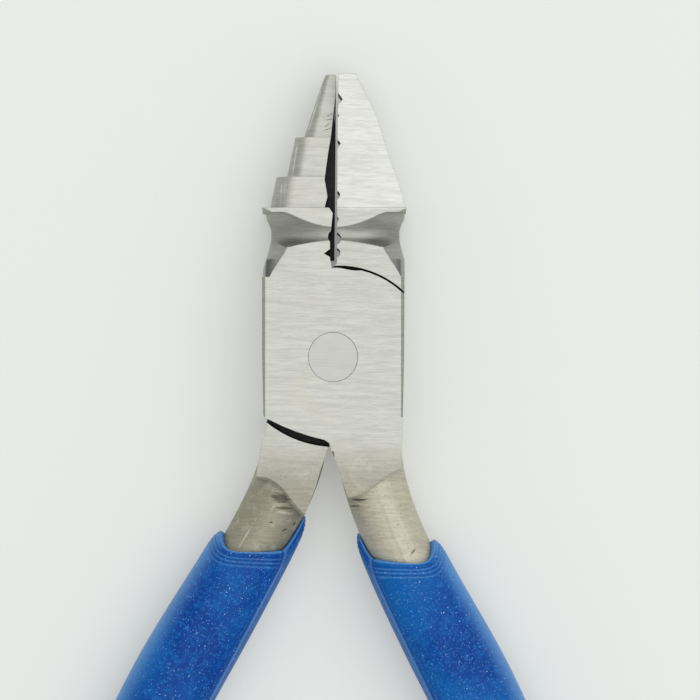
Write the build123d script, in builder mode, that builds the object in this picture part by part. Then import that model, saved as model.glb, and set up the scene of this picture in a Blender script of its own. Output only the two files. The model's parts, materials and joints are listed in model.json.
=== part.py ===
from build123d import *
from math import exp
import os

os.makedirs("parts", exist_ok=True)

# Driving dimensions, in millimetres. The origin is on the rivet's axis, at the
# head's back face. +Y points to the jaw tips and +Z out of the head's front face.
HEAD_THICK = 8.4
HEAD_WIDTH = 14.3
MID_Z = HEAD_THICK / 2
PLATE_GAP = 0.06
JAW_TIP_Y = 28.5
JAW_TIP_THICK = 5.6
COLLAR_Y = 14.95
STEP_DOWN = 0.1
LIP_THICK = 3.4
# Each step of the stepped jaw: y, centre x, half width and half thickness, at its foot and at its head
STEPS = (
    ((COLLAR_Y, -1.9, 4.45, 3.5), (18.1, -1.7, 4.0, 3.3)),
    ((17.9, -1.2, 3.5, 2.6), (22.1, -0.8, 3.02, 2.4)),
    ((21.9, -0.2, 2.82, 1.95), (28.05, 0.1, 1.08, 0.86)),
    ((28.03, 0.1, 1.08, 0.86), (JAW_TIP_Y, 0.1, 0.85, 0.74)),
)
STEP_ROUND = 0.62

SLAB_BEVEL = 0.3
EDGE_BREAK = 0.5
EDGE_BREAK_START = -6.0
EDGE_BREAK_END = 14.5
JAW_CLEAR = 12.0

RIVET_R = 2.0
RIVET_HEAD_R = 2.45
RIVET_HEAD_H = 0.9
RIVET_CLEARANCE = 0.04

BACK_PLATE_R = 9.1
BACK_SHOULDER_R = 9.32
SEAM_CENTRE = (0.6, -0.36)
FRONT_PLATE_R = 9.3
FRONT_SHOULDER_R = 9.5

WAIST_X = 0.22
WAIST_BLOCK = 24.0
WAIST_OVERLAP = 0.02
# Half width and half thickness left by the ground groove and by the corner scallops, up the neck
GROOVE = ((11.0, 7.6, 5.2), (11.65, 6.9, 4.22), (12.35, 6.48, 3.97), (13.1, 6.6, 4.25), (13.9, 6.95, 4.9),
          (14.5, 7.2, 7.8), (15.0, 7.4, 14.0))
SCALLOPS = ((8.0, 7.7, 13.0), (9.2, 7.2, 7.3), (10.8, 6.7, 6.1), (12.2, 6.48, 5.8), (13.6, 6.8, 6.4),
            (15.0, 7.4, 14.0))

HANDLE_END_Y = -98.0
CORE_WIDTH = (6.4, 4.6)
CORE_THICK = (8.0, 4.2)
CORE_THINNING = 0.25
CORE_LENGTH = 0.93
GRIP_WIDTH = 9.0
GRIP_THICK = HEAD_THICK
GRIP_START = 0.085
GRIP_FLARE = 0.12
GRIP_FLARE_LENGTH = 0.15
GRIP_CROWDING = 1.5
GRIP_END_ROUND = 2.9
STATIONS = 14


def level(z):
    """Horizontal plane at height z above the head's mid-plane."""
    return Plane.XY.offset(MID_Z + z)


def across(x, y):
    """Plane square to the jaws, centred at x, y on the mid-plane."""
    return Plane(origin=(x, y, MID_Z), x_dir=(1, 0, 0), z_dir=(0, 1, 0))


def circle_point(centre, radius, x, side=1):
    """Point of a circle at a given x, on its upper (1) or lower (-1) side."""
    rise = (radius**2 - (x - centre[0]) ** 2) ** 0.5
    return (x, centre[1] + side * rise)


def ring_cut(sections):
    """Cutter for the neck below the jaws: a block round an oval waist."""
    low = sections[0][0]
    high = sections[-1][0]
    with BuildPart() as cut:
        with BuildSketch(across(0, low + WAIST_OVERLAP)):
            Rectangle(WAIST_BLOCK, WAIST_BLOCK)
        extrude(amount=high - low - 2 * WAIST_OVERLAP)
        for y, half_width, half_thick in sections:
            with BuildSketch(across(WAIST_X, y)):
                Ellipse(half_width, half_thick)
        loft(mode=Mode.SUBTRACT)
    return cut.part


def station(path, t):
    """Plane square to a handle's centre line, x along the thickness."""
    return Plane(origin=path @ t, x_dir=(0, 0, 1), z_dir=path % t)


def handle_core(path):
    """Steel core of a handle: an oval bar that tapers along its centre line."""
    with BuildPart() as core:
        for step in range(STATIONS + 1):
            along = step / STATIONS
            width = CORE_WIDTH[0] + along * (CORE_WIDTH[1] - CORE_WIDTH[0])
            thick = CORE_THICK[1] + (CORE_THICK[0] - CORE_THICK[1]) * exp(-along / CORE_THINNING)
            with BuildSketch(station(path, along * CORE_LENGTH)):
                Ellipse(thick / 2, width / 2)
        loft()
    return core.part


def dipped_grip(path, mouth, core):
    """Sleeve round a handle's core, with its mouth scooped out front and back."""
    with BuildPart() as grip:
        for step in range(STATIONS + 1):
            along = (step / STATIONS) ** GRIP_CROWDING
            scale = 1 - GRIP_FLARE * exp(-along / GRIP_FLARE_LENGTH)
            with BuildSketch(station(path, GRIP_START + along * (1 - GRIP_START))):
                Ellipse(scale * GRIP_THICK / 2, scale * GRIP_WIDTH / 2)
        loft()
        fillet(grip.edges().sort_by(Axis.Y)[0], GRIP_END_ROUND)
        with BuildSketch(level(0)):
            with BuildLine():
                scoop = ThreePointArc(*mouth)
                Polyline(scoop @ 1, (scoop @ 1).add((0, 6)), (scoop @ 0).add((0, 6)), scoop @ 0)
            make_face()
        extrude(amount=HEAD_THICK, both=True, mode=Mode.SUBTRACT)
        add(core, mode=Mode.SUBTRACT)
    return grip.part


groove_cut = ring_cut(GROOVE)
scallop_cut = ring_cut(SCALLOPS)
with BuildPart() as edge_cut:
    with BuildSketch(Plane.XZ.offset(-EDGE_BREAK_START)):
        with Locations(*[(x * HEAD_WIDTH / 2, z) for x in (-1, 1) for z in (0, HEAD_THICK)]):
            Rectangle(EDGE_BREAK, EDGE_BREAK, rotation=45)
    extrude(amount=EDGE_BREAK_START - EDGE_BREAK_END)

# Handle centre lines on the mid-plane, bowed out from the head and back in
right_path = Spline(
    [(x, y, MID_Z) for x, y in ((3.6, -9.0), (4.9, -15.0), (7.0, -20.0), (14.35, -34.3), (19.7, -48.0),
                                (22.9, -64.0), (23.6, -81.0), (22.7, HANDLE_END_Y))],
    tangents=((0.18, -1), (-0.09, -1)),
)
left_path = Spline(
    [(x, y, MID_Z) for x, y in ((-3.95, -9.0), (-5.75, -14.6), (-8.3, -19.4), (-16.8, -34.3), (-22.7, -47.6),
                                (-26.2, -63.0), (-27.1, -80.0), (-26.2, HANDLE_END_Y))],
    tangents=((-0.26, -1), (0.09, -1)),
)
right_core = handle_core(right_path)
left_core = handle_core(left_path)

# Stepped-jaw half: left jaw, front lap plate and right handle
throat = circle_point(SEAM_CENTRE, FRONT_PLATE_R, -0.1)
with BuildPart() as stepped_half:
    with BuildSketch(level(0)):
        with BuildLine():
            Polyline(throat, (-0.3, 9.8), (-0.3, 10.0), (-0.9, 10.35), (-0.3, 10.8), (-0.3, 11.55))
            ThreePointArc((-0.3, 11.55), (-0.5, 12.05), (-0.2, 12.6))
            Polyline((-0.2, 12.6), (-0.02, 14.4), (-0.4, COLLAR_Y), (-7.1, COLLAR_Y), (-7.1, 0), (-6.97, -5.75))
            ThreePointArc((-6.97, -5.75), (-6.8, -6.1), (-6.42, -6.26))
            ThreePointArc((-6.42, -6.26), (-3.6, -7.5), (-0.85, -8.3))
            Polyline((-0.85, -8.3), (-0.4, -8.6), (-0.2, -9.4), (0.36, -10.7), (1.3, -13.6), (1.5, -14.1))
            Spline((1.5, -14.1), (3.8, -13.2), (5.8, -11.9), (6.85, -11.4))
            Polyline((6.85, -11.4), (6.93, -8.3), (7.12, 0), circle_point(SEAM_CENTRE, FRONT_PLATE_R, 7.15))
            ThreePointArc(circle_point(SEAM_CENTRE, FRONT_PLATE_R, 7.15),
                          circle_point(SEAM_CENTRE, FRONT_PLATE_R, 5.0),
                          circle_point(SEAM_CENTRE, FRONT_PLATE_R, 2.8))
            Spline(circle_point(SEAM_CENTRE, FRONT_PLATE_R, 2.8), (1.9, 8.68), (1.0, 8.85), throat)
        make_face()
    extrude(amount=MID_Z, both=True)
    chamfer(stepped_half.edges().filter_by(GeomType.BSPLINE).group_by(Axis.Y)[0], SLAB_BEVEL)
    add(right_core)
    with BuildSketch(level(PLATE_GAP / 2)):
        Circle(BACK_SHOULDER_R)
        Rectangle(HEAD_WIDTH, HEAD_WIDTH, align=(Align.MIN, Align.MIN))
    extrude(amount=-HEAD_THICK, mode=Mode.SUBTRACT)
    with BuildSketch(level(-MID_Z)):
        Polygon((-2, 9.8), (0.1, 9.8), (0.16, COLLAR_Y), (-2, COLLAR_Y), align=None)
    extrude(amount=LIP_THICK)
    add([groove_cut, scallop_cut, edge_cut.part], mode=Mode.SUBTRACT)
    for low, high in STEPS:
        for y, x, half_width, half_thick in (low, high):
            with BuildSketch(across(x, y)):
                RectangleRounded(2 * half_width, 2 * half_thick, STEP_ROUND * half_thick)
        loft()
    with BuildSketch(level(LIP_THICK - MID_Z)):
        Polygon((-0.4, COLLAR_Y), (-0.82, 15.0), (-0.55, 16.1), (-0.84, 17.8), (-0.65, 19.3), (-0.4, 21.0),
                (-0.2, 22.1), (0.05, 24.5), (0.27, 26.5), (0.3, 29), (5, 29), (5, COLLAR_Y), align=None)
    extrude(amount=HEAD_THICK, mode=Mode.SUBTRACT)
    # The lower lip almost closes the gap between the jaws at the back
    with BuildSketch(level(-MID_Z)):
        Polygon((0.16, COLLAR_Y), (0.27, 26.5), (0.3, 29), (5, 29), (5, COLLAR_Y), align=None)
    extrude(amount=LIP_THICK, mode=Mode.SUBTRACT)
    with BuildSketch(level(0)):
        Circle(RIVET_R + RIVET_CLEARANCE)
    extrude(amount=MID_Z, both=True, mode=Mode.SUBTRACT)
    with BuildSketch(level(MID_Z)):
        Circle(RIVET_HEAD_R + RIVET_CLEARANCE)
    with BuildSketch(level(MID_Z - RIVET_HEAD_H)):
        Circle(RIVET_R + RIVET_CLEARANCE)
    loft(mode=Mode.SUBTRACT)

# Flat-jaw half: right jaw, back lap plate and left handle
with BuildPart() as flat_half:
    with BuildSketch(level(0)):
        with BuildLine():
            Polyline((0.0, BACK_PLATE_R), (0.38, 9.35), (0.38, 9.98))
            ThreePointArc((0.38, 9.98), (0.73, 10.42), (0.38, 10.88))
            Line((0.38, 10.88), (0.38, 11.25))
            ThreePointArc((0.38, 11.25), (0.8, 11.85), (0.38, 12.45))
            Polyline((0.38, 12.45), (0.4, 13.4), (0.57, 13.75), (0.4, 14.1), (0.41, 15.8))
            ThreePointArc((0.41, 15.8), (0.7, 16.2), (0.42, 16.6))
            Polyline((0.42, 16.6), (0.43, 20.9), (0.77, 21.4), (0.44, 21.8), (0.46, 24.0), (0.6, 24.2),
                     (0.47, 24.4), (0.49, 25.3), (0.97, 25.85), (0.5, 26.5), (0.53, 28.0), (0.62, JAW_TIP_Y))
            Line((0.62, JAW_TIP_Y), (2.3, JAW_TIP_Y))
            Spline((2.3, JAW_TIP_Y), (2.65, 27.7), (4.2, 24.5), (5.7, 19.9), (6.8, 16.7), (7.05, 15.7))
            Polyline((7.05, 15.7), (7.35, 14.9), (7.2, 10.0), (7.17, 6.0), (7.0, 0),
                     circle_point((0, 0), BACK_PLATE_R, 6.85, -1))
            ThreePointArc(circle_point((0, 0), BACK_PLATE_R, 6.85, -1),
                          circle_point((0, 0), BACK_PLATE_R, 3.5, -1),
                          circle_point((0, 0), BACK_PLATE_R, -0.52, -1))
            Polyline(circle_point((0, 0), BACK_PLATE_R, -0.52, -1), (-0.8, -9.9), (-1.85, -13.3), (-2.9, -16.0))
            Spline((-2.9, -16.0), (-4.4, -14.4), (-5.7, -12.9), (-7.75, -12.25))
            Polyline((-7.75, -12.25), (-7.15, -8.5), (-6.9, -7.9), (-6.62, -6.72), (-6.85, -5.9), (-7.0, 0),
                     circle_point((0, 0), BACK_PLATE_R, -7.02))
            ThreePointArc(circle_point((0, 0), BACK_PLATE_R, -7.02),
                          circle_point((0, 0), BACK_PLATE_R, -4.0), (0.0, BACK_PLATE_R))
        make_face()
    extrude(amount=MID_Z, both=True)
    chamfer(flat_half.edges().filter_by(GeomType.BSPLINE).group_by(Axis.Y)[0], SLAB_BEVEL)
    add(left_core)
    with BuildSketch(level(-PLATE_GAP / 2)):
        with BuildLine():
            ThreePointArc(circle_point(SEAM_CENTRE, FRONT_SHOULDER_R, 8.5),
                          circle_point(SEAM_CENTRE, FRONT_SHOULDER_R, 4.0),
                          circle_point(SEAM_CENTRE, FRONT_SHOULDER_R, 0.2))
            Polyline(circle_point(SEAM_CENTRE, FRONT_SHOULDER_R, 0.2), (0.2, 9.6), (-9, 9.6), (-9, -5.4),
                     (-6.75, -6.45))
            ThreePointArc((-6.75, -6.45), (-4.4, -7.96), (-0.55, -8.97))
            Polyline((-0.55, -8.97), (-0.2, -9.6), (9, -9.6), circle_point(SEAM_CENTRE, FRONT_SHOULDER_R, 8.5))
        make_face()
    extrude(amount=HEAD_THICK, mode=Mode.SUBTRACT)
    with BuildSketch(Plane.YZ):
        with Locations((0, MID_Z)):
            Polygon((COLLAR_Y, MID_Z), (COLLAR_Y, MID_Z - STEP_DOWN), (JAW_TIP_Y, JAW_TIP_THICK / 2),
                    (JAW_TIP_Y, MID_Z), align=None)
            Polygon((COLLAR_Y, -MID_Z), (COLLAR_Y, STEP_DOWN - MID_Z), (JAW_TIP_Y, -JAW_TIP_THICK / 2),
                    (JAW_TIP_Y, -MID_Z), align=None)
    extrude(amount=JAW_CLEAR, both=True, mode=Mode.SUBTRACT)
    add([groove_cut, scallop_cut, edge_cut.part], mode=Mode.SUBTRACT)
    with BuildSketch(level(0)):
        Circle(RIVET_R)
    extrude(amount=MID_Z, both=True, mode=Mode.SUBTRACT)
    with BuildSketch(level(-MID_Z)):
        Circle(RIVET_HEAD_R)
    with BuildSketch(level(RIVET_HEAD_H - MID_Z)):
        Circle(RIVET_R)
    loft(mode=Mode.SUBTRACT)

# Joint rivet: both ends swaged into countersinks and ground flush
with BuildPart() as rivet:
    with BuildSketch(Plane.XZ):
        with BuildLine():
            Polyline((0, 0), (RIVET_HEAD_R, 0), (RIVET_R, RIVET_HEAD_H), (RIVET_R, HEAD_THICK - RIVET_HEAD_H),
                     (RIVET_HEAD_R, HEAD_THICK), (0, HEAD_THICK), close=True)
        make_face()
    revolve(axis=Axis.Z)

# Dipped grips: hollow sleeves that follow the handles
right_grip = dipped_grip(right_path, ((2.4, -18.2), (6.4, -20.75), (10.5, -18.6)), right_core)
left_grip = dipped_grip(left_path, ((-11.3, -17.9), (-7.2, -19.9), (-2.8, -16.2)), left_core)

pieces = {
    "stepped_jaw_half": stepped_half.part,
    "flat_jaw_half": flat_half.part,
    "joint_rivet": rivet.part,
    "left_grip": left_grip,
    "right_grip": right_grip,
}
for name, piece in pieces.items():
    piece.label = name
    export_step(piece, f"parts/{name}.step")
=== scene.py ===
"""Small crimping pliers with a stepped round jaw, a flat jaw and dipped glitter grips."""

import json
import logging
import math
from dataclasses import dataclass
from enum import Enum

import bmesh
import bpy
import numpy as np
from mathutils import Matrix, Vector

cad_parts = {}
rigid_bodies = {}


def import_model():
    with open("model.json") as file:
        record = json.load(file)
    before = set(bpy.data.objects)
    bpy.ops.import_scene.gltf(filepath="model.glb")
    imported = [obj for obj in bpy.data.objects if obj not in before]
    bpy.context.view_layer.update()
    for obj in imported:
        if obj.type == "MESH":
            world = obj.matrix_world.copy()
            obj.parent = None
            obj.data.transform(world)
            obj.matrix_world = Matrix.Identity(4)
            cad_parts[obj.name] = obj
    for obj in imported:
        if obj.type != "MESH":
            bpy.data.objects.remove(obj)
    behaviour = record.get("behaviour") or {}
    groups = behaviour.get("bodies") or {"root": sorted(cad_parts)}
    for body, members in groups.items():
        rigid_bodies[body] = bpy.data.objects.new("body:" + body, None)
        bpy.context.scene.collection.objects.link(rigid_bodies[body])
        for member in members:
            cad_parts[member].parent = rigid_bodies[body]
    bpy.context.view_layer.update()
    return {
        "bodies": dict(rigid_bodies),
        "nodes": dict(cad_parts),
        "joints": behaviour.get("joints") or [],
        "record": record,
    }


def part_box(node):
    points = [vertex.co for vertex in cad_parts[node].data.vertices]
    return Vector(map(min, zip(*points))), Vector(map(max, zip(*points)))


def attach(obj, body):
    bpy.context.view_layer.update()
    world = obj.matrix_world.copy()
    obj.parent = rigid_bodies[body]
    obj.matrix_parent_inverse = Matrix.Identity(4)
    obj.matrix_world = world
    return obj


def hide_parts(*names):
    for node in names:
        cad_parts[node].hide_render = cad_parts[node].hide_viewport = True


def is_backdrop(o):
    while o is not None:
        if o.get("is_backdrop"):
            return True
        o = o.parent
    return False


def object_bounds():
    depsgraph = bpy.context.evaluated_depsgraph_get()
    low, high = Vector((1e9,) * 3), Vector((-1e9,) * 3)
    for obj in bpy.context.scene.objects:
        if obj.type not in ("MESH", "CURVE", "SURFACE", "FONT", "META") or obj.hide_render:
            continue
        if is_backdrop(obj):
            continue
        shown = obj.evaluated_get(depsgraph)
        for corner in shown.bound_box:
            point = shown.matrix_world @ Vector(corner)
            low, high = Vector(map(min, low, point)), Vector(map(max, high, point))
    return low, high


MM = 0.001
LOG = logging.getLogger("pliers")
Colour = tuple[float, float, float, float]
Socket = bpy.types.NodeSocket
Value = Socket | float | Colour


class Side(Enum):
    """The two handles, with the turn that points from each one to the other."""

    LEFT = 1
    RIGHT = -1


# ---------------------------------------------------------------- node trees


class Shader:
    """Short forms for building one material's node tree."""

    def __init__(self, name: str) -> None:
        """Start an empty material with its output and principled nodes.

        Args:
            name: The material's name.
        """
        self.material = bpy.data.materials.new(name)
        self.material.use_nodes = True
        self.tree = self.material.node_tree
        self.surface = self.tree.nodes["Principled BSDF"]
        sources = self.tree.nodes.new("ShaderNodeTexCoord").outputs
        self.coords = sources["Object"]
        self.facing = sources["Normal"]

    def node(self, kind: str, **fields: object) -> bpy.types.Node:
        """Add a node and set its fields.

        Args:
            kind: Node type without its ShaderNode prefix.
            fields: Attributes to set on the node.

        Returns:
            The new node.
        """
        made = self.tree.nodes.new("ShaderNode" + kind)
        for field, value in fields.items():
            setattr(made, field, value)
        return made

    def feed(self, socket: Socket, value: Value) -> None:
        """Link a socket to an output, or set it to a plain value.

        Args:
            socket: The input socket.
            value: An output socket, a number or a colour.
        """
        if isinstance(value, Socket):
            self.tree.links.new(value, socket)
        else:
            socket.default_value = value

    def split(self, vector: Socket) -> bpy.types.bpy_prop_collection:
        """Take a vector apart.

        Args:
            vector: The vector.

        Returns:
            Outputs named X, Y and Z.
        """
        made = self.node("SeparateXYZ")
        self.feed(made.inputs[0], vector)
        return made.outputs

    def stretch(self, scale: tuple[float, float, float], turn: float = 0.0) -> Socket:
        """Object coordinates in cells per metre along each axis.

        Args:
            scale: Cells per metre along X, Y and Z.
            turn: Rotation about Z before the stretch, in radians.

        Returns:
            The mapped coordinates.
        """
        turned = self.node("VectorRotate", rotation_type="Z_AXIS")
        self.feed(turned.inputs["Vector"], self.coords)
        turned.inputs["Angle"].default_value = turn
        mapping = self.node("Mapping")
        self.feed(mapping.inputs["Vector"], turned.outputs[0])
        mapping.inputs["Scale"].default_value = scale
        return mapping.outputs[0]

    def noise(self, where: Socket, scale: float = 1.0, detail: float = 2.0, rough: float = 0.5) -> Socket:
        """Noise at some coordinates.

        Args:
            where: The coordinates.
            scale: Cells per unit of the coordinates.
            detail: Octaves of finer noise.
            rough: How strong each finer octave is.

        Returns:
            The noise, about 0.2 to 0.8.
        """
        made = self.node("TexNoise")
        self.feed(made.inputs["Vector"], where)
        made.inputs["Scale"].default_value = scale
        made.inputs["Detail"].default_value = detail
        made.inputs["Roughness"].default_value = rough
        return made.outputs["Fac"]

    def ramp(self, value: Value, low: float, high: float, to_low: float = 0.0,
             to_high: float = 1.0) -> Socket:
        """Map a value smoothly and clamped from one range to another.

        Args:
            value: The value.
            low: Start of its range.
            high: End of its range.
            to_low: Result at the start.
            to_high: Result at the end.

        Returns:
            The mapped value.
        """
        made = self.node("MapRange", interpolation_type="SMOOTHSTEP")
        for field, number in zip(("Value", "From Min", "From Max", "To Min", "To Max"),
                                 (value, low, high, to_low, to_high)):
            self.feed(made.inputs[field], number)
        return made.outputs["Result"]

    def maths(self, operation: str, first: Value, second: Value = 0.0) -> Socket:
        """One arithmetic step.

        Args:
            operation: The Math node's operation.
            first: First value.
            second: Second value.

        Returns:
            The result.
        """
        made = self.node("Math", operation=operation)
        self.feed(made.inputs[0], first)
        self.feed(made.inputs[1], second)
        return made.outputs[0]

    def times(self, first: Value, second: Value) -> Socket:
        """Multiply two values."""
        return self.maths("MULTIPLY", first, second)

    def most(self, *values: Value) -> Socket:
        """The greatest of several values.

        Args:
            values: Two or more values.

        Returns:
            The greatest one.
        """
        greatest = values[0]
        for value in values[1:]:
            greatest = self.maths("MAXIMUM", greatest, value)
        return greatest

    def away(self, value: Value, middle: Value) -> Socket:
        """How far a value is from a middle value, either way."""
        return self.maths("ABSOLUTE", self.maths("SUBTRACT", value, middle))

    def blend(self, factor: Value, first: Value, second: Value, how: str = "MIX") -> Socket:
        """Mix two colours.

        Args:
            factor: Share of the second colour, 0 to 1.
            first: First colour.
            second: Second colour.
            how: The Mix node's blend type.

        Returns:
            The mixed colour.
        """
        made = self.node("Mix", data_type="RGBA", blend_type=how)
        self.feed(made.inputs["Factor"], factor)
        self.feed(made.inputs["A"], first)
        self.feed(made.inputs["B"], second)
        return made.outputs["Result"]

    def toned(self, colour: Value, tone: Socket) -> Socket:
        """Scale a colour's brightness.

        Args:
            colour: The colour.
            tone: What to multiply each channel by.

        Returns:
            The scaled colour.
        """
        grey = self.node("CombineColor")
        for channel in grey.inputs:
            self.feed(channel, tone)
        return self.blend(1.0, colour, grey.outputs[0], "MULTIPLY")

    def bump(self, height: Value, distance: float, strength: float = 1.0,
             below: Socket | None = None) -> Socket:
        """Bump normal from a height.

        Args:
            height: The height value, 0 to 1.
            distance: Depth of a full step, in metres.
            strength: Overall strength.
            below: Normal of another bump to add to.

        Returns:
            The normal.
        """
        made = self.node("Bump")
        self.feed(made.inputs["Height"], height)
        made.inputs["Distance"].default_value = distance
        made.inputs["Strength"].default_value = strength
        if below is not None:
            self.feed(made.inputs["Normal"], below)
        return made.outputs["Normal"]

    def dress(self, **sockets: Value) -> bpy.types.Material:
        """Feed the principled node's sockets.

        Args:
            sockets: Values by socket name, with underscores for spaces.

        Returns:
            The material.
        """
        for name, value in sockets.items():
            self.feed(self.surface.inputs[name.replace("_", " ")], value)
        return self.material


# ---------------------------------------------------------------- finishes


@dataclass(frozen=True)
class Mark:
    """One mark on a surface, in millimetres from the rivet's axis; worn and milled marks and painted glints
    use it.
    """

    place: tuple[float, float]
    half_length: float
    half_width: float
    turn: float = 0.0

    def mask(self, s: Shader, wobble: Socket) -> Socket:
        """Where the mark lies.

        Args:
            s: The shader being built.
            wobble: Noise that makes the mark's outline uneven.

        Returns:
            1 on the mark and 0 away from it.
        """
        mapping = s.node("Mapping", vector_type="TEXTURE")
        s.feed(mapping.inputs["Vector"], s.coords)
        mapping.inputs["Location"].default_value = (self.place[0] * MM, self.place[1] * MM, 0)
        mapping.inputs["Rotation"].default_value = (0, 0, math.radians(self.turn))
        mapping.inputs["Scale"].default_value = (self.half_length * MM, self.half_width * MM, 1)
        near = s.split(mapping.outputs[0])
        squares = s.maths("ADD", s.maths("POWER", near["X"], 2.0), s.maths("POWER", near["Y"], 2.0))
        uneven = s.maths("ADD", s.maths("SQRT", squares), s.ramp(wobble, 0.25, 0.75, -0.45, 0.45))
        return s.ramp(uneven, 0.5, 1.15, 1.0, 0.0)


def combined(s: Shader, marks: tuple[Mark, ...], wobble: Socket) -> Socket:
    """Where any of several marks lies.

    Args:
        s: The shader being built.
        marks: The marks.
        wobble: Noise that makes their outlines uneven.

    Returns:
        1 on a mark and 0 away from all of them.
    """
    return s.most(*(mark.mask(s, wobble) for mark in marks))


@dataclass(frozen=True)
class GroundSteel:
    """Satin steel: flat faces ground crosswise, everything else duller and darker, partly as painted shade,
    with painted shade in the gap and the lap joint and painted glints.
    """

    name: str
    gap_side: float
    mid_z: float
    pits: tuple[Mark, ...]
    glint_marks: tuple[Mark, ...]
    # Neck tone on sloped neck faces, also the tone of the clouds; the pieces get lit and shaded copies of it
    # as painted light.
    dull: Colour
    bright: Colour
    colour: Colour = (0.452, 0.456, 0.418, 1.0)
    # Darker tone for sloped faces, partly an unground finish and partly painted shade, and painted shade in
    # the waist's groove.
    milled_and_shade: Colour = (0.215, 0.222, 0.192, 1.0)
    worn: Colour = (0.33, 0.315, 0.25, 1.0)
    # Rubbed edges, and painted glints on the jaws.
    rubbed_edge_and_glint: Colour = (0.74, 0.74, 0.7, 1.0)
    pit: Colour = (0.06, 0.05, 0.035, 1.0)
    spot: Colour = (0.1, 0.09, 0.06, 1.0)
    # Pale blotches on the necks, and painted glints on them.
    pale_blotch_and_glint: Colour = (0.56, 0.54, 0.45, 1.0)
    # Painted shade: near black on the gap's walls, the lap joint and tight corners.
    painted_shade: Colour = (0.008, 0.009, 0.01, 1.0)
    corner: float = 0.1 * MM
    crevice: float = 0.5 * MM
    lines_across: float = 8000.0
    lines_along: float = 650.0
    gap_start: float = 8.0 * MM
    lap_end: float = 23.5 * MM
    seam_reach: tuple[float, float] = (6.7 * MM, 9.7 * MM)
    jaw_start: float = 14.6 * MM
    groove_y: float = 12.3 * MM
    groove_reach: float = 1.7 * MM
    neck_start: float = -7.0 * MM
    neck_end: float = -14.0 * MM

    def grain(self, s: Shader) -> tuple[Socket, Socket]:
        """Grinding lines, fine and broad.

        Args:
            s: The shader being built.

        Returns:
            The fine lines, and a brightness of both kinds together.
        """
        across = s.stretch((self.lines_along, self.lines_across, self.lines_along))
        fine = s.noise(across, detail=4.0, rough=0.75)
        broad = s.noise(s.stretch((260, 2600, 260), 0.03), detail=2.0)
        both = s.maths("ADD", s.times(fine, 0.75), s.times(broad, 0.25))
        return fine, s.ramp(both, 0.34, 0.66, 0.82, 1.16)

    def gap_walls(self, s: Shader, wall: Socket) -> Socket:
        """Where a wall looks across the gap between the jaws.

        Args:
            s: The shader being built.
            wall: 1 on upright surfaces.

        Returns:
            1 on the gap's walls.
        """
        facing_gap = s.ramp(s.times(s.split(s.facing)["X"], self.gap_side), 0.4, 0.8)
        above = s.ramp(s.split(s.coords)["Y"], self.gap_start, self.gap_start + 1.2 * MM)
        return s.times(s.times(wall, facing_gap), above)

    def seam_walls(self, s: Shader, wall: Socket) -> Socket:
        """Where a wall lies inside the lap joint.

        Args:
            s: The shader being built.
            wall: 1 on upright surfaces.

        Returns:
            1 on the joint's walls.
        """
        place = s.split(s.coords)
        side, end = self.seam_reach
        beside = s.ramp(s.maths("ABSOLUTE", place["X"]), side, side + 0.2 * MM, 1.0, 0.0)
        along = s.ramp(s.maths("ABSOLUTE", place["Y"]), end, end + 0.3 * MM, 1.0, 0.0)
        return s.times(wall, s.times(beside, along))

    def lap_floors(self, s: Shader, flat: Socket) -> Socket:
        """Where a level face lies in the middle of the head's thickness.

        Args:
            s: The shader being built.
            flat: 1 on level surfaces.

        Returns:
            1 on the joint's floors.
        """
        place = s.split(s.coords)
        level = s.ramp(s.away(place["Z"], self.mid_z), 0.9 * MM, 1.1 * MM, 1.0, 0.0)
        lap = s.times(level, s.ramp(flat, 0.8, 0.95))
        return s.times(lap, s.ramp(place["Y"], self.lap_end, self.lap_end + 1.0 * MM, 1.0, 0.0))

    def painted_shade_mask(self, s: Shader, flat: Socket) -> Socket:
        """Where shade is painted near black: the gap's walls, the lap joint and tight corners.

        Args:
            s: The shader being built.
            flat: 1 on level surfaces.

        Returns:
            1 on hidden steel.
        """
        wall = s.ramp(flat, 0.3, 0.6, 1.0, 0.0)
        # Painted shade in tight corners, from ambient occlusion.
        shut = s.node("AmbientOcclusion", samples=6)
        shut.inputs["Distance"].default_value = self.crevice
        corners = s.ramp(shut.outputs["AO"], 0.05, 0.4, 1.0, 0.0)
        return s.most(self.gap_walls(s, wall), self.seam_walls(s, wall), self.lap_floors(s, flat), corners)

    def body(self, s: Shader, flat: Socket, neck: Socket) -> Socket:
        """Colour of the sound steel by region, with sloped faces darker, partly unground and partly painted
        shade, and the waist's groove darker as painted shade.

        Args:
            s: The shader being built.
            flat: 1 on level surfaces.
            neck: 1 on the bare handle necks.

        Returns:
            The colour.
        """
        place = s.split(s.coords)["Y"]
        jaw = s.ramp(place, self.jaw_start, self.jaw_start + 0.3 * MM)
        body = s.blend(jaw, self.colour, self.bright)
        # Sloped faces off the necks are darker, partly an unground finish and partly painted shade.
        sloped = s.times(s.ramp(flat, 0.97, 0.7), s.maths("SUBTRACT", 1.0, neck))
        body = s.blend(s.times(sloped, s.ramp(jaw, 0.0, 1.0, 0.4, 0.14)), body, self.milled_and_shade)
        # Painted shade in the waist's groove.
        groove_shade = s.ramp(s.away(place, self.groove_y), 0.35 * self.groove_reach, self.groove_reach, 0.5, 0.0)
        body = s.blend(s.times(groove_shade, s.ramp(flat, 0.9999, 0.998)), body, self.milled_and_shade)
        # Necks: worn flat faces, and sloped faces in the neck tone, which is painted light.
        return s.blend(neck, body, s.blend(s.ramp(flat, 0.9999, 0.99), self.worn, self.dull))

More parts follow.
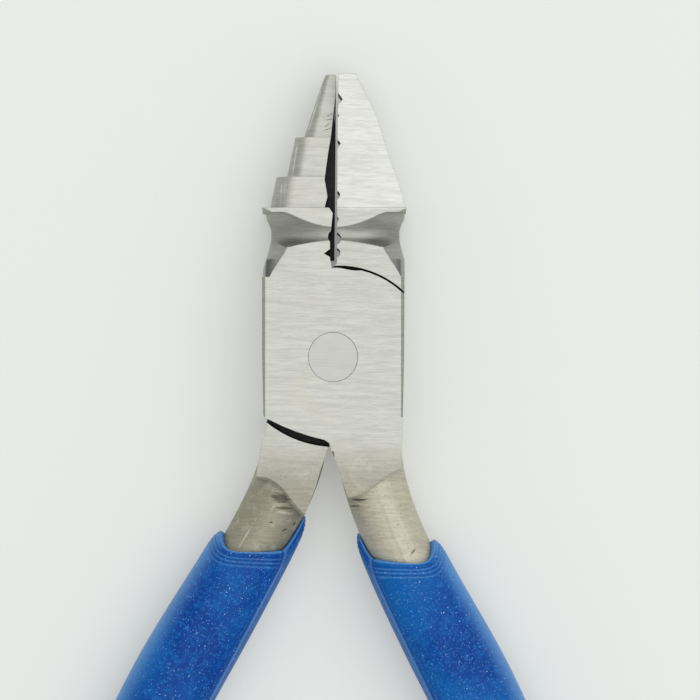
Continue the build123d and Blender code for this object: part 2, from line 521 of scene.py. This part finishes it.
    def stained(self, s: Shader, steel: Socket, neck: Socket, blotch: Socket, speckle: Socket) -> Socket:
        """Add dull clouds everywhere, and pale blotches and dark specks on the necks.

        Args:
            s: The shader being built.
            steel: Colour of the clean steel.
            neck: 1 on the bare handle necks.
            blotch: Noise of the blotches' size.
            speckle: Noise of the specks' size.

        Returns:
            The stained colour.
        """
        cloud = s.noise(s.coords, 220.0, 4.0, 0.6)
        stained = s.blend(s.ramp(cloud, 0.45, 0.75, 0.0, 0.25), steel, self.dull)
        pale = s.times(s.ramp(blotch, 0.5, 0.75), s.times(neck, 0.5))
        specks = s.times(s.ramp(speckle, 0.58, 0.7), s.times(neck, 0.6))
        return s.blend(specks, s.blend(pale, stained, self.pale_blotch_and_glint), self.spot)

    def edges(self, s: Shader) -> tuple[Socket, Socket]:
        """Slightly rounded corners, and where they are rubbed bright.

        Args:
            s: The shader being built.

        Returns:
            The rounded normal, and 1 on the corners.
        """
        rounded = s.node("Bevel", samples=4)
        rounded.inputs["Radius"].default_value = self.corner
        alike = s.node("VectorMath", operation="DOT_PRODUCT")
        s.feed(alike.inputs[0], rounded.outputs[0])
        s.feed(alike.inputs[1], s.node("NewGeometry").outputs["Normal"])
        return rounded.outputs[0], s.ramp(alike.outputs["Value"], 0.985, 0.85)

    def material(self) -> bpy.types.Material:
        """Make the material.

        Returns:
            The finished material.
        """
        s = Shader(self.name)
        fine, tone = self.grain(s)
        flat = s.maths("ABSOLUTE", s.split(s.facing)["Z"])
        speckle = s.noise(s.coords, 4200.0, 3.0, 0.7)
        blotch = s.noise(s.coords, 900.0, 3.0, 0.6)
        neck = s.ramp(s.split(s.coords)["Y"], self.neck_start, self.neck_end)
        steel = self.stained(s, s.toned(self.body(s, flat, neck), tone), neck, blotch, speckle)
        # Painted glints: pale streaks that stand in for highlights on the necks and on the jaw's steps.
        glint = s.blend(neck, self.rubbed_edge_and_glint, self.pale_blotch_and_glint)
        steel = s.blend(s.times(combined(s, self.glint_marks, blotch), 0.6), steel, glint)
        pitted = combined(s, self.pits, fine)
        steel = s.blend(s.times(pitted, 0.8), steel, self.pit)
        rounded, rubbed = self.edges(s)
        steel = s.blend(s.times(rubbed, s.ramp(blotch, 0.3, 0.6, 0.25, 0.7)), steel, self.rubbed_edge_and_glint)
        # Painted shade: the gap's walls, the lap joint and tight corners turn near black and less metallic.
        painted_shade_mask = self.painted_shade_mask(s, flat)
        metal = s.maths("SUBTRACT", s.ramp(painted_shade_mask, 0.0, 1.0, 0.9, 0.2), s.times(neck, 0.45))
        rough = s.maths("ADD", s.ramp(fine, 0.3, 0.7, 0.36, 0.5), s.times(neck, 0.1))
        lines = s.bump(fine, 0.006 * MM, 0.5, rounded)
        dents = s.bump(s.maths("SUBTRACT", 1.0, pitted), 0.08 * MM, 0.6, lines)
        return s.dress(Base_Color=s.blend(painted_shade_mask, steel, self.painted_shade), Metallic=s.most(metal, 0.2),
                       Roughness=rough, Normal=s.bump(speckle, 0.012 * MM, 0.4, dents))


@dataclass(frozen=True)
class RivetSteel:
    """The rivet's ground head, with a slightly different grain from the plates."""

    name: str = "rivet_head_steel"
    colour: Colour = (0.458, 0.462, 0.425, 1.0)
    dull: Colour = (0.3, 0.295, 0.26, 1.0)

    def material(self) -> bpy.types.Material:
        """Make the material.

        Returns:
            The finished material.
        """
        s = Shader(self.name)
        fine = s.noise(s.stretch((240, 9000, 240)), detail=3.0, rough=0.7)
        cloud = s.noise(s.coords, 700.0, 3.0)
        lined = s.toned(self.colour, s.ramp(fine, 0.3, 0.7, 0.84, 1.04))
        colour = s.blend(s.ramp(cloud, 0.4, 0.8, 0.0, 0.15), lined, self.dull)
        return s.dress(Base_Color=colour, Metallic=0.92, Roughness=s.ramp(fine, 0.3, 0.7, 0.34, 0.5),
                       Normal=s.bump(fine, 0.006 * MM, 0.5))


@dataclass(frozen=True)
class GlitterVinyl:
    """Glossy translucent blue vinyl with fine glitter below the surface."""

    name: str = "glitter_vinyl"
    deep: Colour = (0.001, 0.042, 0.25, 1.0)
    light: Colour = (0.004, 0.135, 0.43, 1.0)
    # Painted sheen on steep sides.
    painted_side_sheen: Colour = (0.055, 0.2, 0.46, 1.0)
    # Pale tone for the painted highlight and sheen at the rim, ripple crests and outer side.
    lip: Colour = (0.17, 0.42, 0.78, 1.0)
    spark: Colour = (0.14, 0.4, 0.78, 1.0)
    fleck_cells: float = 3800.0

    def body(self, s: Shader, mottle: Socket) -> Socket:
        """Cloudy blue, with painted sheen on its steep and outer sides, painted highlights at the rim and on
        the ripple crests, and painted shade in the ripple folds and along the moulding line.

        Args:
            s: The shader being built.
            mottle: Noise of the size of small clouds.

        Returns:
            The colour.
        """
        cloud = s.noise(s.coords, 110.0, 2.0, 0.5)
        fine = s.noise(s.coords, 5000.0, 2.0, 0.6)
        body = s.blend(s.ramp(cloud, 0.35, 0.7, 0.0, 0.6), self.deep, self.light)
        body = s.blend(s.ramp(mottle, 0.42, 0.72, 0.0, 0.5), body, self.light)
        body = s.blend(s.ramp(fine, 0.55, 0.75, 0.0, 0.35), body, self.spark)
        # Painted sheen: steep sides turn paler.
        upright = s.ramp(s.maths("ABSOLUTE", s.split(s.facing)["Z"]), 0.75, 0.15, 0.0, 0.45)
        body = s.blend(upright, body, self.painted_side_sheen)
        # Painted highlight and sheen from the mesh: rim, ripple crests and outer side turn paler.
        rim = s.node("Attribute", attribute_name="lip").outputs["Fac"]
        body = s.blend(s.ramp(rim, 0.0, 1.0, 0.0, 0.45), body, self.lip)
        # Painted shade from the mesh: ripple folds and the moulding line turn darker.
        fold_shade = s.node("Attribute", attribute_name="fold_shade").outputs["Fac"]
        return s.blend(s.ramp(fold_shade, 0.0, 1.0, 0.0, 0.6), body, self.deep)

    def flecks(self, s: Shader) -> Socket:
        """Where glitter lies below the surface.

        Args:
            s: The shader being built.

        Returns:
            1 on a fleck.
        """
        cells = s.node("TexVoronoi")
        s.feed(cells.inputs["Vector"], s.coords)
        cells.inputs["Scale"].default_value = self.fleck_cells
        pick = s.node("SeparateColor")
        s.feed(pick.inputs[0], cells.outputs["Color"])
        near = s.ramp(cells.outputs["Distance"], 0.1, 0.3, 1.0, 0.0)
        return s.times(near, s.ramp(pick.outputs[0], 0.78, 0.95))

    def material(self) -> bpy.types.Material:
        """Make the material.

        Returns:
            The finished material.
        """
        s = Shader(self.name)
        mottle = s.noise(s.coords, 1300.0, 3.0, 0.65)
        colour = s.blend(s.times(self.flecks(s), 0.6), self.body(s, mottle), self.spark)
        waves = s.bump(s.noise(s.coords, 260.0, 2.0), 0.05 * MM, 0.35)
        return s.dress(Base_Color=colour, Metallic=0.0, Roughness=0.4, Specular_IOR_Level=0.05,
                       Coat_Weight=0.1, Coat_Roughness=0.12, Normal=s.bump(mottle, 0.01 * MM, 0.25, waves))


@dataclass(frozen=True)
class GlitterFleck:
    """Pale metallic glitter flecks."""

    name: str = "glitter_fleck"
    blue: Colour = (0.05, 0.24, 0.62, 1.0)
    pale: Colour = (0.55, 0.8, 0.98, 1.0)

    def material(self) -> bpy.types.Material:
        """Make the material.

        Returns:
            The finished material.
        """
        s = Shader(self.name)
        hue = s.ramp(s.noise(s.coords, 2400.0), 0.45, 0.75)
        return s.dress(Base_Color=s.blend(hue, self.blue, self.pale), Metallic=0.25, Roughness=0.35)


# ---------------------------------------------------------------- handles and grips


@dataclass
class HandleLine:
    """Centre line of one bowed handle, measured along its length in metres."""

    points: list[tuple[float, float]]
    leave: tuple[float, float]
    arrive: tuple[float, float]
    mid_z: float
    steps: int = 40

    def __post_init__(self) -> None:
        """Fit a smooth curve through the points and measure it."""
        knots = np.array(self.points) * MM
        gaps = np.linalg.norm(np.diff(knots, axis=0), axis=1)
        slopes = self._slopes(knots, gaps)
        t = np.linspace(0, 1, self.steps, endpoint=False)[:, None]
        blend = (2 * t**3 - 3 * t**2 + 1, t**3 - 2 * t**2 + t, 3 * t**2 - 2 * t**3, t**3 - t**2)
        runs = []
        for i, gap in enumerate(gaps):
            runs.append(blend[0] * knots[i] + blend[1] * gap * slopes[i]
                        + blend[2] * knots[i + 1] + blend[3] * gap * slopes[i + 1])
        self.track = np.vstack(runs + [knots[-1:]])
        self.along = np.concatenate(([0], np.cumsum(np.linalg.norm(np.diff(self.track, axis=0), axis=1))))
        self.length = float(self.along[-1])

    def _slopes(self, knots: np.ndarray, gaps: np.ndarray) -> np.ndarray:
        """Tangents at the knots that leave no break in curvature.

        Args:
            knots: The points that the line passes through.
            gaps: Distances between them.

        Returns:
            One tangent for each knot.
        """
        count = len(knots)
        rows = np.zeros((count, count))
        right = np.zeros((count, 2))
        rows[0, 0] = rows[-1, -1] = 1
        right[0] = np.array(self.leave) / np.linalg.norm(self.leave)
        right[-1] = np.array(self.arrive) / np.linalg.norm(self.arrive)
        for i in range(1, count - 1):
            rows[i, i - 1], rows[i, i], rows[i, i + 1] = gaps[i], 2 * (gaps[i - 1] + gaps[i]), gaps[i - 1]
            right[i] = 3 * (gaps[i] * (knots[i] - knots[i - 1]) / gaps[i - 1]
                            + gaps[i - 1] * (knots[i + 1] - knots[i]) / gaps[i])
        return np.linalg.solve(rows, right)

    def at(self, distance: float) -> tuple[Vector, Vector]:
        """Point and direction at a distance along the line.

        Args:
            distance: Metres from the head end.

        Returns:
            The point and the unit direction, both in the object's frame.
        """
        step = 0.2 * MM
        ends = [np.array([np.interp(distance + shift, self.along, self.track[:, k]) for k in (0, 1)])
                for shift in (-step, step)]
        here = (ends[0] + ends[1]) / 2
        ahead = (ends[1] - ends[0]) / np.linalg.norm(ends[1] - ends[0])
        return Vector((here[0], here[1], self.mid_z)), Vector((ahead[0], ahead[1], 0))


def hump(distance: float, width: float, power: float = 2.0) -> float:
    """A smooth hump that is 1 at no distance and fades over a width.

    Args:
        distance: Distance from the hump's middle.
        width: How far it reaches, in the same unit.
        power: How steeply it falls.

    Returns:
        The hump's height.
    """
    return math.exp(-((distance / width) ** power))


@dataclass
class DippedGrip:
    """One dipped sleeve: a tube on the handle's line with a scooped, rippled mouth."""

    name: str
    node: str
    body: str
    side: Side
    line: HandleLine
    front_rim: float
    scoop_inner: float
    scoop_outer: float
    tongue: float = 30.0
    ear: float = 3.6
    rim_tilt: float = 2.0 * MM
    width: tuple[float, float] = (8.1 * MM, 8.94 * MM)
    thick: tuple[float, float] = (7.8 * MM, 8.36 * MM)
    swell_length: float = 16.0 * MM
    core_width: tuple[float, float] = (6.4 * MM, 4.6 * MM)
    core_thick: tuple[float, float] = (8.0 * MM, 4.2 * MM)
    core_length: float = 0.93
    core_thinning: float = 0.25
    lip: float = 0.5 * MM
    shoulder: float = 0.55 * MM
    dome: float = 4.6 * MM
    mouth_depth: float = 2.4 * MM
    squareness: float = 0.86
    parting: float = 0.84
    ripples: tuple[float, ...] = (0.55, 0.95, 1.4)
    ripple_depth: float = 0.06 * MM
    around: int = 192
    rings: int = 190

    def rim(self, inward: float) -> float:
        """Distance along the line at which the rim stands.

        Args:
            inward: Cosine of the place round the sleeve, 1 on the inner side.

        Returns:
            Metres along the line.
        """
        inner = self.scoop_inner * max(inward, 0.0) ** self.tongue
        outer = self.scoop_outer * max(-inward, 0.0) ** self.ear
        return self.front_rim - self.rim_tilt * inward - inner - outer

    def core(self, distance: float) -> tuple[float, float]:
        """Half width and half thickness of the steel bar inside.

        Args:
            distance: Metres along the line.

        Returns:
            The two half sizes.
        """
        part = min(distance / (self.core_length * self.line.length), 1.0)
        width = self.core_width[0] + part * (self.core_width[1] - self.core_width[0])
        thinned = math.exp(-part / self.core_thinning)
        thick = self.core_thick[1] + (self.core_thick[0] - self.core_thick[1]) * thinned
        return width / 2, thick / 2

    def outer(self, distance: float, below: float) -> tuple[float, float]:
        """Half width and half thickness of the sleeve.

        Args:
            distance: Metres along the line.
            below: Metres below the rim.

        Returns:
            The two half sizes.
        """
        swell = min(below / self.swell_length, 1.0)
        swell = swell * swell * (3 - 2 * swell)
        grown = 1 - hump(below, self.shoulder, 1.25)
        ripple = sum(hump(below / MM - place, 0.11) for place in self.ripples) * self.ripple_depth
        sizes = []
        for core, (start, full) in zip(self.core(distance), (self.width, self.thick)):
            size = (start + swell * (full - start)) / 2
            sizes.append(core + self.lip + (size - core - self.lip) * grown - ripple)
        left = self.line.length - distance
        if left < self.dome:
            taper = math.sqrt(max(1 - (1 - left / self.dome) ** 2, 0.0))
            sizes = [size * taper for size in sizes]
        return sizes[0], sizes[1]

    def seam(self, inward: float) -> float:
        """Depth of the moulding line at a place round the sleeve, 0 to 1."""
        return hump(inward - self.parting, 0.022)

    def tint(self, inward: float, below: float) -> tuple[float, float]:
        """Painted highlight and painted shade on the vinyl: pale at the rim, on the ripple crests, beside
        the moulding line and on the outer side, dark in the ripple folds and along the moulding line.

        Args:
            inward: Place across the sleeve, 1 on the inner side.
            below: Metres below the rim.

        Returns:
            How light and how dark the vinyl is there, each 0 to 1.
        """
        down = below / MM
        # Painted highlight on the ripple crests, painted shade in the folds.
        crest_highlight = sum(hump(down - place - 0.2, 0.1) for place in self.ripples)
        fold_shading = sum(hump(down - place, 0.1) for place in self.ripples)
        rim = min(hump(down, 0.16) + 0.55 * crest_highlight, 1.0)
        flash = hump(inward - self.parting - 0.06, 0.03)
        # Painted sheen on the outer side.
        outer_sheen = min(max((-inward - 0.45) / 0.5, 0.0), 1.0) ** 1.5
        return max(rim, 0.7 * flash, 0.85 * outer_sheen), min(0.7 * fold_shading + self.seam(inward), 1.0)

    def ring(self, mesh: bmesh.types.BMesh, share: float, depth: float = -1.0) -> list[bmesh.types.BMVert]:
        """One ring of vertices round the sleeve.

        Args:
            mesh: Mesh to add to.
            share: Part of the way from the rim to the end, 0 to 1.
            depth: If positive, a ring on the inner wall this far below the rim.

        Returns:
            The ring's vertices.
        """
        lip = mesh.verts.layers.float["lip"]
        fold_shade = mesh.verts.layers.float["fold_shade"]
        inside = depth >= 0
        power = 1.0 if inside else self.squareness
        made = []
        for k in range(self.around):
            angle = 2 * math.pi * k / self.around
            inward = math.copysign(abs(math.cos(angle)) ** power, math.cos(angle))
            upward = math.copysign(abs(math.sin(angle)) ** power, math.sin(angle))
            rim = self.rim(inward)
            below = depth if inside else share * (self.line.length - rim)
            distance = rim + below
            half_w, half_t = self.core(distance) if inside else self.outer(distance, below)
            if not inside:
                half_w -= 0.35 * MM * max(inward, 0.0) ** 3 * math.exp(-below / (3 * MM))
                half_t -= 0.07 * MM * self.seam(inward)
            centre, ahead = self.line.at(distance)
            sideways = Vector((-ahead.y, ahead.x, 0)) * self.side.value
            vert = mesh.verts.new(centre + sideways * half_w * inward + Vector((0, 0, half_t * upward)))
            # Painted highlight and painted shade, kept on the vertices for the vinyl.
            vert[lip], vert[fold_shade] = self.tint(inward, below)
            made.append(vert)
        return made

    def mesh(self) -> bpy.types.Mesh:
        """Skin the rings, from inside the mouth over the rim to the domed end.

        Returns:
            The sleeve's closed mesh.
        """
        mesh = bmesh.new()
        for layer in ("lip", "fold_shade"):
            mesh.verts.layers.float.new(layer)
        rows = [self.ring(mesh, 0, self.mouth_depth), self.ring(mesh, 0, 0.05 * MM)]
        rows += [self.ring(mesh, (i / self.rings) ** 2.0 * 0.985) for i in range(self.rings + 1)]
        rows += [self.ring(mesh, share) for share in (0.991, 0.9955, 0.9985)]
        for upper, lower in zip(rows, rows[1:]):
            for k in range(self.around):
                after = (k + 1) % self.around
                mesh.faces.new((upper[k], upper[after], lower[after], lower[k]))
        for row in (rows[0], rows[-1]):
            hub = mesh.verts.new(sum((v.co for v in row), Vector()) / len(row))
            for k in range(self.around):
                mesh.faces.new((row[k], row[(k + 1) % self.around], hub))
        bmesh.ops.recalc_face_normals(mesh, faces=mesh.faces)
        data = bpy.data.meshes.new(self.name)
        mesh.to_mesh(data)
        mesh.free()
        data.shade_smooth()
        return data

    def build(self, finish: bpy.types.Material) -> bpy.types.Object:
        """Make the sleeve.

        Args:
            finish: The vinyl.

        Returns:
            The finished object, riding on its body.
        """
        data = self.mesh()
        data.materials.append(finish)
        piece = bpy.data.objects.new(self.name, data)
        bpy.context.scene.collection.objects.link(piece)
        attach(piece, self.body)
        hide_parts(self.node)
        LOG.info("%s: %d faces", self.name, len(data.polygons))
        return piece


@dataclass
class Glitter:
    """Fine flecks scattered over a grip by a node tree."""

    density: float = 1.6e6
    radius: float = 0.05 * MM
    depth: float = 0.012 * MM
    sizes: tuple[float, float] = (0.35, 1.35)
    sides: int = 5
    seed: int = 7

    def tree(self) -> bpy.types.NodeTree:
        """Build the tree that scatters the flecks.

        Returns:
            The geometry node tree.
        """
        tree = bpy.data.node_groups.new("glitter_scatter", "GeometryNodeTree")
        tree.interface.new_socket("Geometry", in_out="OUTPUT", socket_type="NodeSocketGeometry")
        for name, kind in (("Geometry", "Geometry"), ("Density", "Float"), ("Radius", "Float"),
                           ("Depth", "Float"), ("Seed", "Int"), ("Finish", "Material")):
            tree.interface.new_socket(name, in_out="INPUT", socket_type="NodeSocket" + kind)
        start = tree.nodes.new("NodeGroupInput").outputs
        placed = self._placed(tree, start)
        real = tree.nodes.new("GeometryNodeRealizeInstances")
        tree.links.new(placed, real.inputs["Geometry"])
        paint = tree.nodes.new("GeometryNodeSetMaterial")
        tree.links.new(real.outputs["Geometry"], paint.inputs["Geometry"])
        tree.links.new(start["Finish"], paint.inputs["Material"])
        tree.links.new(paint.outputs["Geometry"], tree.nodes.new("NodeGroupOutput").inputs["Geometry"])
        return tree

    def _placed(self, tree: bpy.types.NodeTree, start: bpy.types.bpy_prop_collection) -> Socket:
        """Add the nodes that put a fleck of a random size on each scattered point.

        Args:
            tree: The tree to add to.
            start: The tree's inputs by name.

        Returns:
            The instances.
        """
        link = tree.links.new
        spread = tree.nodes.new("GeometryNodeDistributePointsOnFaces")
        link(start["Geometry"], spread.inputs["Mesh"])
        link(start["Density"], spread.inputs["Density"])
        link(start["Seed"], spread.inputs["Seed"])
        fleck = tree.nodes.new("GeometryNodeMeshCone")
        fleck.inputs["Vertices"].default_value = self.sides
        link(start["Radius"], fleck.inputs["Radius Bottom"])
        link(start["Depth"], fleck.inputs["Depth"])
        size = tree.nodes.new("FunctionNodeRandomValue")
        size.inputs["Min"].default_value, size.inputs["Max"].default_value = self.sizes
        link(start["Seed"], size.inputs["Seed"])
        place = tree.nodes.new("GeometryNodeInstanceOnPoints")
        link(spread.outputs["Points"], place.inputs["Points"])
        link(fleck.outputs["Mesh"], place.inputs["Instance"])
        link(spread.outputs["Rotation"], place.inputs["Rotation"])
        link(size.outputs["Value"], place.inputs["Scale"])
        return place.outputs["Instances"]

    def scatter(self, tree: bpy.types.NodeTree, grip: DippedGrip, under: bpy.types.Object,
                finish: bpy.types.Material) -> bpy.types.Object:
        """Scatter flecks over one grip and keep them as a plain mesh.

        Args:
            tree: The scatter tree.
            grip: The grip that the flecks belong to.
            under: The grip's object.
            finish: The flecks' material.

        Returns:
            The flecks, riding with the grip.
        """
        carrier = bpy.data.objects.new("carrier", under.data.copy())
        bpy.context.scene.collection.objects.link(carrier)
        modifier = carrier.modifiers.new("glitter", "NODES")
        modifier.node_group = tree
        values = {"Density": self.density, "Radius": self.radius, "Depth": self.depth,
                  "Seed": self.seed + grip.side.value, "Finish": finish}
        for item in tree.interface.items_tree:
            if item.in_out == "INPUT" and item.name in values:
                modifier[item.identifier] = values[item.name]
        graph = bpy.context.evaluated_depsgraph_get()
        data = bpy.data.meshes.new_from_object(carrier.evaluated_get(graph))
        bpy.data.objects.remove(carrier)
        piece = bpy.data.objects.new(grip.name + "_glitter", data)
        bpy.context.scene.collection.objects.link(piece)
        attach(piece, grip.body)
        LOG.info("%s: %d faces", piece.name, len(data.polygons))
        return piece


# ---------------------------------------------------------------- head


@dataclass
class Head:
    """The two steel halves and the rivet, kept from the frame and given their finishes."""

    mid_z: float
    stepped: str = "stepped_jaw_half"
    flat: str = "flat_jaw_half"
    rivet: str = "joint_rivet"
    stepped_pits: tuple[Mark, ...] = (
        Mark((2.6, -14.35), 0.9, 0.12, 4), Mark((2.2, -15.0), 0.55, 0.1, 6),
        Mark((0.05, -9.7), 0.09, 0.3, 18), Mark((8.0, -19.6), 0.4, 0.08, 50),
        Mark((-0.35, 24.4), 0.3, 0.022, 30), Mark((-0.45, 23.9), 0.4, 0.02, 12),
        Mark((-0.55, 23.4), 0.3, 0.022, 42), Mark((-0.6, 22.9), 0.45, 0.02, 20),
    )
    # Painted glints: pale streaks standing in for highlights on the right neck and the stepped jaw's steps.
    stepped_glint_marks: tuple[Mark, ...] = (
        Mark((7.3, -17.6), 2.5, 0.16, -64), Mark((7.4, -19.9), 0.8, 0.2, 15),
        Mark((-5.2, 16.5), 1.5, 0.09, 86), Mark((-3.85, 19.8), 2.0, 0.09, 81),
        Mark((-1.9, 24.7), 2.4, 0.08, 73), Mark((-4.85, 16.9), 1.0, 0.06, 86),
    )
    flat_pits: tuple[Mark, ...] = (
        Mark((-5.3, -14.1), 0.95, 0.42, -14), Mark((-4.8, -15.15), 0.85, 0.16, -6),
        Mark((-4.9, -17.4), 0.3, 0.1, 30), Mark((-6.2, -16.6), 0.16, 0.1, 0),
        Mark((-3.9, -16.8), 0.3, 0.1, 70),
    )
    # Painted glints on the left neck, one along its ridge.
    flat_glint_marks: tuple[Mark, ...] = (Mark((-8.85, -18.1), 1.5, 0.11, 59), Mark((-5.0, -15.6), 0.9, 0.1, -8))
    # Neck tones as painted light: the right neck is a lit copy, the left neck a shaded copy.
    left_neck_shaded: Colour = (0.3, 0.285, 0.21, 1.0)
    right_neck_lit: Colour = (0.5, 0.47, 0.36, 1.0)
    # Jaw tones: the flat jaw is lighter, partly its polish and partly a painted highlight of its face tilted
    # to the light.
    stepped_jaw: Colour = (0.455, 0.456, 0.415, 1.0)
    flat_jaw: Colour = (0.57, 0.57, 0.54, 1.0)

    def dress(self, frame: dict) -> None:
        """Give each steel piece its finish.

        Args:
            frame: The loaded frame.
        """
        stepped = GroundSteel(self.stepped + "_steel", 1.0, self.mid_z, self.stepped_pits,
                              self.stepped_glint_marks, self.right_neck_lit, self.stepped_jaw)
        flat = GroundSteel(self.flat + "_steel", -1.0, self.mid_z, self.flat_pits,
                           self.flat_glint_marks, self.left_neck_shaded, self.flat_jaw)
        for node, finish in ((self.stepped, stepped), (self.flat, flat), (self.rivet, RivetSteel())):
            self._paint(frame["nodes"][node], finish.material())

    @staticmethod
    def _paint(piece: bpy.types.Object, finish: bpy.types.Material) -> None:
        """Put one finish in every material slot of a piece.

        Args:
            piece: The piece.
            finish: Its material.
        """
        for held in piece.material_slots:
            held.material = finish
        LOG.info("%s: %s", piece.name, finish.name)


# ---------------------------------------------------------------- studio


@dataclass(frozen=True)
class Studio:
    """Pale floor, soft lights and the camera above the head of the pliers."""

    aim: tuple[float, float, float] = (1.7 * MM, 0.7 * MM, 8.4 * MM)
    distance: float = 350 * MM
    view_width: float = 70 * MM
    sensor: float = 36.0
    floor_colour: Colour = (0.527, 0.534, 0.511, 1.0)
    floor_glow: Colour = (0.25, 0.254, 0.244, 1.0)
    floor_drop: float = 0.02 * MM
    sky_colour: Colour = (0.98, 0.99, 1.0, 1.0)
    sky_strength: float = 0.68
    lamp_place: tuple[float, float, float] = (0.22, 0.08, 0.78)
    lamp_size: float = 1.2
    lamp_power: float = 4.5

    def build(self) -> None:
        """Set up everything that isn't the pliers."""
        self.camera()
        self.floor()
        self.sky()
        self.lamp()

    def camera(self) -> None:
        """Make the camera that looks straight down on the head."""
        data = bpy.data.cameras.new("camera")
        data.sensor_width = self.sensor
        data.lens = self.sensor * self.distance / self.view_width
        data.clip_start = 0.01
        camera = bpy.data.objects.new("camera", data)
        bpy.context.scene.collection.objects.link(camera)
        camera.location = (self.aim[0], self.aim[1], self.aim[2] + self.distance)
        bpy.context.scene.camera = camera
        bpy.context.scene.view_settings.view_transform = "Standard"

    def floor(self) -> None:
        """Lay a plain pale floor under the pliers."""
        mesh = bmesh.new()
        bmesh.ops.create_grid(mesh, x_segments=1, y_segments=1, size=2)
        data = bpy.data.meshes.new("floor")
        mesh.to_mesh(data)
        mesh.free()
        data.materials.append(Shader("floor").dress(Base_Color=self.floor_colour, Roughness=0.7,
                                                    Emission_Color=self.floor_glow, Emission_Strength=1.0))
        plane = bpy.data.objects.new("floor", data)
        bpy.context.scene.collection.objects.link(plane)
        plane.location.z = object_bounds()[0][2] - self.floor_drop
        plane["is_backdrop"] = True

    def lamp(self) -> None:
        """Hang one square soft light that points at the head."""
        data = bpy.data.lights.new("overhead", "AREA")
        data.size = self.lamp_size
        data.energy = self.lamp_power
        lamp = bpy.data.objects.new("overhead", data)
        bpy.context.scene.collection.objects.link(lamp)
        lamp.location = self.lamp_place
        lamp.rotation_euler = (-Vector(self.lamp_place)).to_track_quat("-Z", "Y").to_euler()

    def sky(self) -> None:
        """Surround everything with an even pale light."""
        world = bpy.data.worlds.new("studio")
        world.use_nodes = True
        background = world.node_tree.nodes["Background"]
        background.inputs["Color"].default_value = self.sky_colour
        background.inputs["Strength"].default_value = self.sky_strength
        bpy.context.scene.world = world


def make_grips(mid_z: float) -> tuple[DippedGrip, DippedGrip]:
    """Describe both grips on their handles' lines.

    Args:
        mid_z: Height of the middle of the handles, in metres.

    Returns:
        The left grip and the right grip.
    """
    left = HandleLine([(-3.95, -9.0), (-5.75, -14.6), (-8.3, -19.4), (-16.8, -34.3), (-22.7, -47.6),
                       (-26.2, -63.0), (-27.1, -80.0), (-26.2, -98.0)], (-0.26, -1), (0.09, -1), mid_z)
    right = HandleLine([(3.6, -9.0), (4.9, -15.0), (7.0, -20.0), (14.35, -34.3), (19.7, -48.0),
                        (22.9, -64.0), (23.6, -81.0), (22.7, -98.0)], (0.18, -1), (-0.09, -1), mid_z)
    return (DippedGrip("grip_left", "left_grip", "flat_half", Side.LEFT, left, front_rim=11.5 * MM,
                       scoop_inner=3.4 * MM, scoop_outer=2.2 * MM),
            DippedGrip("grip_right", "right_grip", "stepped_half", Side.RIGHT, right, front_rim=12.3 * MM,
                       scoop_inner=2.4 * MM, scoop_outer=2.7 * MM))


def main() -> None:
    """Build the pliers' visible pieces and the studio round them."""
    logging.basicConfig(level=logging.INFO)
    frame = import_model()
    Studio().build()
    mid_z = sum(corner[2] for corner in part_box("joint_rivet")) / 2
    Head(mid_z).dress(frame)
    vinyl = GlitterVinyl().material()
    fleck = GlitterFleck().material()
    glitter = Glitter()
    scatter = glitter.tree()
    for grip in make_grips(mid_z):
        piece = grip.build(vinyl)
        glitter.scatter(scatter, grip, piece, fleck)


if __name__ == "__main__":
    main()
